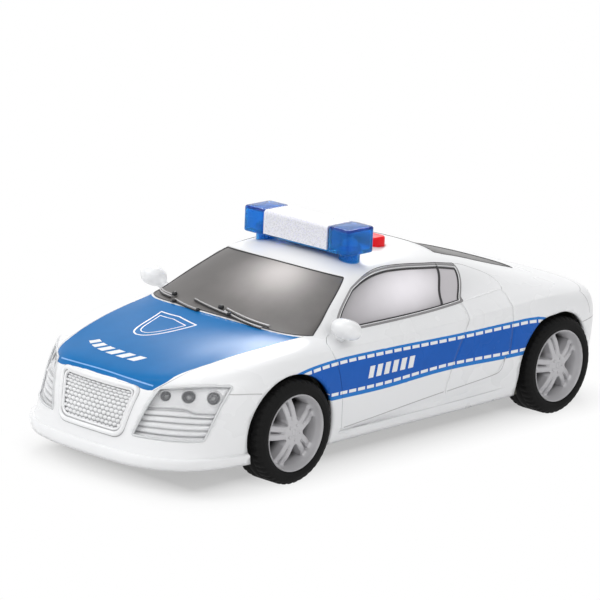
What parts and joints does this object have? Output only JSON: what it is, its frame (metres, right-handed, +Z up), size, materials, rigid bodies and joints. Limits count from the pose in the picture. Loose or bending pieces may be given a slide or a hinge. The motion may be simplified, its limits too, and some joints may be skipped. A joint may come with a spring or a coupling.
{
  "type": "toy police car",
  "caption": "Toy police coupe with a hollow body on a screwed chassis, rolling wheels, a geared friction flywheel drive, a roof light bar and a sprung push button.",
  "frame": {"origin": "on the floor under the middle of the body's length and width", "axes": "+X towards the car's left side, -Y out of the nose, +Z up"},
  "size_m": [0.0968, 0.22, 0.0725],
  "materials": {
    "body_white": "gloss moulded",
    "chassis_black": "matte moulded",
    "smoked_glass": "gloss, graded grey",
    "silver_glass": "satin silver",
    "clear_lens": "clear moulded plastic",
    "lamp_silver": "bright plated",
    "grille_white": "gloss moulded",
    "tail_red": "gloss tinted",
    "wiper_dark": "satin",
    "beacon_blue": "translucent tinted",
    "sleeve_white": "sparkling white foil",
    "led_clear": "clear resin",
    "button_red": "gloss moulded",
    "dome_rubber": "soft silicone",
    "board_green": "solder mask",
    "speaker_grey": "matte",
    "cell_steel": "bright",
    "contact_brass": "bright",
    "screw_steel": "bright",
    "rim_silver": "silver paint",
    "tyre_black": "soft black rubber",
    "gear_nylon": "natural nylon",
    "flywheel_steel": "turned",
    "gearbox_grey": "moulded"
  },
  "bodies": {
    "car": {"body_shell": "body_white", "chassis": "chassis_black", "windscreen": "smoked_glass", "side_window_left": "silver_glass", "side_window_right": "silver_glass", "rear_window": "smoked_glass", "headlight_lens_left": "clear_lens", "headlight_lens_right": "clear_lens", "headlight_bowl_left": "lamp_silver", "headlight_bowl_right": "lamp_silver", "grille": "grille_white", "tail_light_left": "tail_red", "tail_light_right": "tail_red", "mirror_left": "body_white", "mirror_right": "body_white", "wiper_left": "wiper_dark", "wiper_right": "wiper_dark", "light_bar_lens": "beacon_blue", "light_bar_sleeve": "sleeve_white", "light_post_left": "beacon_blue", "light_post_right": "beacon_blue", "led_left": "led_clear", "led_right": "led_clear", "switch_dome": "dome_rubber", "circuit_board": "board_green", "speaker": "speaker_grey", "cell_left": "cell_steel", "cell_middle": "cell_steel", "cell_right": "cell_steel", "battery_contact": "contact_brass", "battery_door": "chassis_black", "battery_screw": "screw_steel", "gearbox_base": "gearbox_grey", "gearbox_cover": "gearbox_grey", "gearbox_screw_left": "screw_steel", "gearbox_screw_right": "screw_steel", "body_screw_front_left": "screw_steel", "body_screw_front_right": "screw_steel", "body_screw_rear_left": "screw_steel", "body_screw_rear_right": "screw_steel"},
    "front_wheels": {"front_axle": "screw_steel", "rim_front_left": "rim_silver", "rim_front_right": "rim_silver", "tyre_front_left": "tyre_black", "tyre_front_right": "tyre_black"},
    "rear_wheels": {"rear_axle": "screw_steel", "axle_gear": "gear_nylon", "rim_rear_left": "rim_silver", "rim_rear_right": "rim_silver", "tyre_rear_left": "tyre_black", "tyre_rear_right": "tyre_black"},
    "middle_gear": {"middle_gear": "gear_nylon"},
    "flywheel": {"flywheel": "flywheel_steel"},
    "button": {"roof_button": "button_red"}
  },
  "joints": [
    {"name": "front_axle_spin", "type": "hinge", "parent": "car", "child": "front_wheels", "pos_m": [0, -0.061, 0.0171], "axis": [1, 0, 0], "continuous": true},
    {"name": "rear_axle_spin", "type": "hinge", "parent": "car", "child": "rear_wheels", "pos_m": [0, 0.071, 0.0171], "axis": [1, 0, 0], "continuous": true},
    {"name": "middle_gear_spin", "type": "hinge", "parent": "car", "child": "middle_gear", "pos_m": [0, 0.0598, 0.0171], "axis": [1, 0, 0], "continuous": true},
    {"name": "flywheel_spin", "type": "hinge", "parent": "car", "child": "flywheel", "pos_m": [0, 0.0486, 0.0171], "axis": [1, 0, 0], "continuous": true},
    {"name": "button_press", "type": "slide", "parent": "car", "child": "button", "axis": [0, 0, -1], "range_m": [0, 0.0015], "stiffness_N_per_m": 300, "springref_m": -0.0005, "deforming": ["switch_dome"]}
  ],
  "couplings": [
    {"joint": "middle_gear_spin", "follows": "rear_axle_spin", "ratio": -1.8},
    {"joint": "flywheel_spin", "follows": "rear_axle_spin", "ratio": 3.24}
  ]
}
